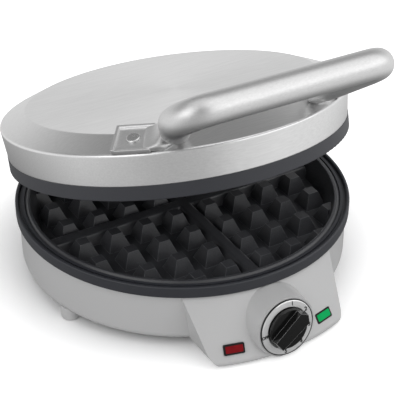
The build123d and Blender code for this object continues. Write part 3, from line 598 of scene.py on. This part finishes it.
# Painted shadow: the black hoop stands for the shade in the gap round the ring.
painted_shadow_hoop_radius = 0.0198
painted_shadow_hoop_width = 0.0005
painted_shadow_hoop_height = 0.0011
painted_shadow_hoop = dial_hoop(painted_shadow_hoop_radius, painted_shadow_hoop_width, painted_shadow_hoop_height)
new_piece("dial_ring_painted_shadow_hoop", painted_shadow_hoop, window_black, "base")

# Numbers of the dial: off and five heat marks, printed in black round the chrome ring.
# All of them stand upright.
label_radius = 0.0172
label_size = 0.0041
label_bold = 0.04
label_raise = 0.00006
ring_height = 0.0014
# mark, degrees clockwise from the top, share of the full size
heat_marks = (
    ("OFF", -95.0, 0.75), ("1", 15.0, 1.0), ("2", 58.0, 1.0), ("3", 101.0, 1.0), ("4", 144.0, 1.0),
    ("5", 187.0, 1.0),
)
print_ink = material(
    "printed_ink",
    moulded_skin,
    {"Colour": grey(0.01), "Shade": grey(0.02), "Roughness": 0.5, "Cloud Scale": 400.0},
    {"Specular IOR Level": 0.3},
)
printed = bmesh.new()
for words, clock, scale in heat_marks:
    curve = bpy.data.curves.new("label", "FONT")
    curve.body = words
    curve.size = label_size * scale
    curve.align_x = "CENTER"
    curve.align_y = "CENTER"
    curve.offset = label_size * label_bold
    curve.extrude = label_raise / 2
    holder = bpy.data.objects.new("label", curve)
    bpy.context.scene.collection.objects.link(holder)
    flat = bpy.data.meshes.new_from_object(holder.evaluated_get(bpy.context.evaluated_depsgraph_get()))
    bpy.data.objects.remove(holder)
    turn = math.radians(clock)
    middle = (label_radius * math.sin(turn), label_radius * math.cos(turn))
    for vertex in flat.vertices:
        x, y, z = vertex.co
        vertex.co = on_dial(middle[0] + x, middle[1] + y, ring_height + label_raise / 2 + z)
    printed.from_mesh(flat)
    bpy.data.meshes.remove(flat)
bmesh.ops.remove_doubles(printed, verts=printed.verts, dist=1e-7)
bmesh.ops.recalc_face_normals(printed, faces=printed.faces)
label_mesh = bpy.data.meshes.new("dial_numbers")
printed.to_mesh(label_mesh)
printed.free()
new_piece("dial_numbers", label_mesh, print_ink, "base")

# Dial knob: glossy black moulding, a round skirt with a tall grip bar across it that
# ends in a point. It is pressed on the flat of the thermostat's shaft.
# Its edges are painted light grey by the same edge mask, a painted highlight along the grip.
gloss_black = material(
    "gloss_black_plastic",
    coated_casting,
    {"Colour": grey(0.005), "Worn": grey(0.009), "Edge Highlight": grey(0.3), "Edge Width": 0.00035,
     "Roughness": 0.16, "Peel Scale": 90.0, "Peel Height": 0.000008},
    {"Specular IOR Level": 0.32, "Coat Weight": 0.15, "Coat Roughness": 0.06},
)
dress(gloss_black, "dial_knob")

# Lid cover: spun stainless steel, with a flat top, a bevel and a wall. It is brushed in
# straight lines from side to side.
brushed_steel, given, result = shader_group(
    "brushed_steel",
    (
        ("Colour", "Color", (0.7, 0.7, 0.7, 1)),
        ("Shade", "Color", (0.6, 0.6, 0.6, 1)),
        ("Roughness", "Float", 0.3),
        ("Spread", "Float", 0.12),
        ("Along", "Float", 45.0),
        ("Across", "Float", 1000.0),
        ("Depth", "Float", 0.00002),
        ("Tilt", "Float", 0.0),
    ),
    (("Colour", "Color"), ("Roughness", "Float"), ("Normal", "Vector")),
)
spot = add_node(brushed_steel, "ShaderNodeTexCoord").outputs["Object"]
turn = add_node(brushed_steel, "ShaderNodeCombineXYZ", {0: given["Tilt"]}).outputs[0]
level = add_node(
    brushed_steel, "ShaderNodeVectorRotate", {"Vector": spot, "Rotation": turn}, rotation_type="EULER_XYZ"
).outputs[0]
stretch = add_node(
    brushed_steel, "ShaderNodeCombineXYZ", {0: given["Along"], 1: given["Across"], 2: given["Across"]}
).outputs[0]
lines = add_node(brushed_steel, "ShaderNodeVectorMath", {0: level, 1: stretch}, operation="MULTIPLY")
fine = noise(brushed_steel, lines.outputs[0], scale=1.0, detail=4.0, rough=0.65)
cloud = noise(brushed_steel, spot, scale=12.0, detail=3.0)
brushed_steel.links.new(mix_colour(brushed_steel, fine, given["Colour"], given["Shade"]), result["Colour"])
fine_share = 0.7
fine_part = math_node(brushed_steel, "MULTIPLY", fine, fine_share)
cloud_part = math_node(brushed_steel, "MULTIPLY", cloud, 1 - fine_share)
uneven = math_node(brushed_steel, "ADD", fine_part, cloud_part)
dullness = about(brushed_steel, uneven, given["Roughness"], given["Spread"])
brushed_steel.links.new(dullness, result["Roughness"])
brushed_steel.links.new(bumped(brushed_steel, fine, given["Depth"], strength=0.6), result["Normal"])
lid_rest = math.radians(-joints["lid_hinge"]["range_deg"][0])
lid_steel = material(
    "brushed_lid_steel",
    brushed_steel,
    {"Colour": grey(0.82), "Shade": grey(0.62), "Roughness": 0.3, "Tilt": lid_rest},
    {"Metallic": 1.0, "Anisotropic": 0.4},
)
dress(lid_steel, "lid_cover")

# Handle: one satin aluminium bow. Its round bar stands in front of the lid, turns back
# at both ends and flattens to a pressed tray, which is riveted on the bevel of the lid.
hinge_y, hinge_z = joints["lid_hinge"]["pos_m"][1:]
centre_y = -0.0074


def raised(point):
    """A point of the shut lid, in mm from the body's middle, where it is with the lid at rest."""
    y = point[1] / 1000 + centre_y - hinge_y
    z = point[2] / 1000 - hinge_z
    c, s = math.cos(lid_rest), math.sin(lid_rest)
    return Vector((point[0] / 1000, hinge_y + y * c + z * s, hinge_z - y * s + z * c))


foot_angle = math.radians(40.5)
foot_circle = 110.2
lid_top_radius = 102.9
lid_top_height = 90.6
bevel_fall = 7.9 / 18.9
bevel_slope = math.atan(bevel_fall)
foot_x = Vector((math.cos(foot_angle), -math.sin(foot_angle), 0))
foot_out = Vector((
    -math.sin(bevel_slope) * math.sin(foot_angle),
    -math.sin(bevel_slope) * math.cos(foot_angle),
    math.cos(bevel_slope),
))
foot_y = foot_out.cross(foot_x)
foot_seat = Vector((
    -foot_circle * math.sin(foot_angle),
    -foot_circle * math.cos(foot_angle),
    lid_top_height - (foot_circle - lid_top_radius) * bevel_fall,
))


def on_foot(x, y, z):
    """A point on the left foot, in mm: x along the bevel, y inwards and z off the steel."""
    return foot_seat + foot_x * x + foot_y * y + foot_out * z


bar_y = -156.0
bar_z = 117.6
bar_half = 78.5
elbow = Vector((-bar_half, bar_y, bar_z))
bend = 15.0
bar_radius = 9.6
bend_radius = 9.7
neck_radius = 10.2
neck_half_thick = 8.8
neck_steps = 6
bend_steps = 8
bar_steps = 8
foot_half_width = 11.2
foot_half_thick = 1.2
foot_roundness = 0.2
foot_middle = 1.7
foot_start = on_foot(6.0, 0.0, foot_middle)
foot_bend = on_foot(17.0, 0.0, foot_middle)
leg_start = on_foot(29.0, -3.0, 9.5)
leg_pull = 10.0


def handle_stations():
    """Centre, width direction, half width, half thickness and roundness from foot to bar."""
    leg = (elbow - leg_start).normalized()
    along = Vector((1, 0, 0))
    turn = leg.angle(along)
    first = elbow - leg * bend * math.tan(turn / 2)
    inward = (along - leg * along.dot(leg)).normalized()
    centre = first + inward * bend
    neck = (foot_start, foot_bend, leg_start - leg * leg_pull, leg_start)
    stations = []
    for i in range(neck_steps + 1):
        t = i / neck_steps
        u = 1 - t
        weights = (u ** 3, 3 * u * u * t, 3 * u * t * t, t ** 3)
        point = sum((p * w for p, w in zip(neck, weights)), Vector())
        ease = t * t * (3 - 2 * t)
        width = (foot_y * (1 - ease) - inward * ease).normalized()
        half_width = foot_half_width + (neck_radius - foot_half_width) * ease
        half_thick = foot_half_thick + (neck_half_thick - foot_half_thick) * ease
        stations.append((point, width, half_width, half_thick, min(1.0, foot_roundness + ease)))
    for share in (0.5, 1.0):
        half_width = neck_radius + (bend_radius - neck_radius) * share
        half_thick = neck_half_thick + (bend_radius - neck_half_thick) * share
        stations.append((leg_start.lerp(first, share), -inward, half_width, half_thick, 1.0))
    for i in range(1, bend_steps + 1):
        angle = turn * i / bend_steps
        outward = inward * math.cos(angle) - leg * math.sin(angle)
        stations.append((centre - outward * bend, -outward, bend_radius, bend_radius, 1.0))
    last = stations[-1][0].x
    for i in range(1, bar_steps + 1):
        share = i / bar_steps
        x = last * (1 - share)
        radius = bar_radius + (bend_radius - bar_radius) * (x / last) ** 2
        stations.append((Vector((x, bar_y, bar_z)), stations[-1][1], radius, radius, 1.0))
    return stations


tray_half_length = 12.5
tray_half_width = 12.0
tray_low = 0.3
tray_floor = 2.4
tray_wall_rise = 1.6
end_wall_at = -10.2
back_wall_at = 9.7
wall_ramp = 0.6
tray_lip_rise = 0.9
lip_at = -9.5
lip_ramp = 2.5
corner_pull = 0.97


def tray_height(x, y):
    """Height of the left tray's upper face: walls at its outer end and its back, a lip in front."""
    end_wall = min(1.0, (end_wall_at - x) / wall_ramp + 0.5)
    back_wall = min(1.0, (y - back_wall_at) / wall_ramp + 0.5)
    lip = tray_lip_rise * max(0.0, min(1.0, (lip_at - y) / lip_ramp))
    return tray_floor + max(tray_wall_rise * max(end_wall, back_wall, 0.0), lip)


def pressed_tray():
    """The left foot's tray as a closed slab, cut finely where its walls and lip rise."""
    shape = bmesh.new()
    xs = [-tray_half_length, -12.2, -11.6, -10.8, -10.4, -10.0]
    xs += [-8.0 + 2.0 * i for i in range(10)] + [11.4, 12.2, tray_half_length]
    ys = [-tray_half_width, -11.7, -11.0] + [-9.0 + 2.0 * i for i in range(9)]
    ys += [9.3, 9.7, 10.2, 11.2, 11.8, tray_half_width]
    top, low = [], []
    for x in xs:
        for y in ys:
            corner = abs(y) == tray_half_width and abs(x) == tray_half_length
            pull = corner_pull if corner else 1.0
            top.append(shape.verts.new(raised(on_foot(x * pull, y * pull, tray_height(x, y)))))
            low.append(shape.verts.new(raised(on_foot(x * pull, y * pull, tray_low))))
    n = len(ys)
    for i in range(len(xs) - 1):
        for j in range(n - 1):
            cell = (i * n + j, (i + 1) * n + j, (i + 1) * n + j + 1, i * n + j + 1)
            shape.faces.new([top[k] for k in cell])
            shape.faces.new([low[k] for k in reversed(cell)])
    edge = [i * n for i in range(len(xs))] + [(len(xs) - 1) * n + j for j in range(1, n)]
    edge += [i * n + n - 1 for i in range(len(xs) - 2, -1, -1)] + list(range(n - 2, 0, -1))
    for k, m in zip(edge, edge[1:] + edge[:1]):
        shape.faces.new((top[k], low[k], low[m], top[m]))
    bmesh.ops.recalc_face_normals(shape, faces=shape.faces)
    for face in shape.faces:
        face.smooth = True
    return shape


def section(centre, width, half_width, half_thick, roundness, tangent, steps=32):
    """An oval ring that squares off as its roundness goes from 1 to 0."""
    width = (width - tangent * width.dot(tangent)).normalized()
    depth = tangent.cross(width).normalized()
    ring = []
    for i in range(steps):
        angle = 2 * math.pi * i / steps
        c, s = math.cos(angle), math.sin(angle)
        x = math.copysign(abs(c) ** roundness, c) * half_width
        y = math.copysign(abs(s) ** roundness, s) * half_thick
        ring.append(centre + width * x + depth * y)
    return ring


left = handle_stations()
centres = [station[0] for station in left]
rings = []
for i, (centre, width, half_width, half_thick, roundness) in enumerate(left):
    before = centres[max(i - 1, 0)]
    after = centres[i + 1] if i + 1 < len(left) else centre + Vector((1, 0, 0))
    tangent = (after - before).normalized()
    rings.append(section(centre, width, half_width, half_thick, roundness, tangent))
for ring in reversed(rings[:-1]):
    rings.append([Vector((-p.x, p.y, p.z)) for p in ring])
bow = loft([[raised(point) for point in ring] for ring in rings])
whole = pressed_tray()
right_tray = bmesh.ops.duplicate(whole, geom=whole.verts[:] + whole.edges[:] + whole.faces[:])
for item in right_tray["geom"]:
    if isinstance(item, bmesh.types.BMVert):
        item.co.x = -item.co.x
whole.from_mesh(bow)
bmesh.ops.recalc_face_normals(whole, faces=whole.faces)
whole.to_mesh(bow)
whole.free()
satin_aluminium = material(
    "satin_aluminium",
    brushed_steel,
    {"Colour": grey(0.74), "Shade": grey(0.56), "Roughness": 0.42, "Along": 500.0, "Across": 1300.0,
     "Tilt": lid_rest, "Depth": 0.00002},
    {"Metallic": 1.0},
)
handle = new_piece("handle_bow", bow, satin_aluminium, "lid")
finer = handle.modifiers.new("finer", "SUBSURF")
finer.levels = 2
finer.render_levels = 2
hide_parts("handle")

# Rivets of the handle: aluminium, with a low round head on each tray. They go through
# the tray and the lid's cover.
rivet_metal = material(
    "rivet_aluminium",
    sheet_metal,
    {"Colour": grey(0.78), "Stain": grey(0.66), "Roughness": 0.26, "Stain Scale": 400.0},
    {"Metallic": 1.0},
)
dress(rivet_metal, "handle_rivets")
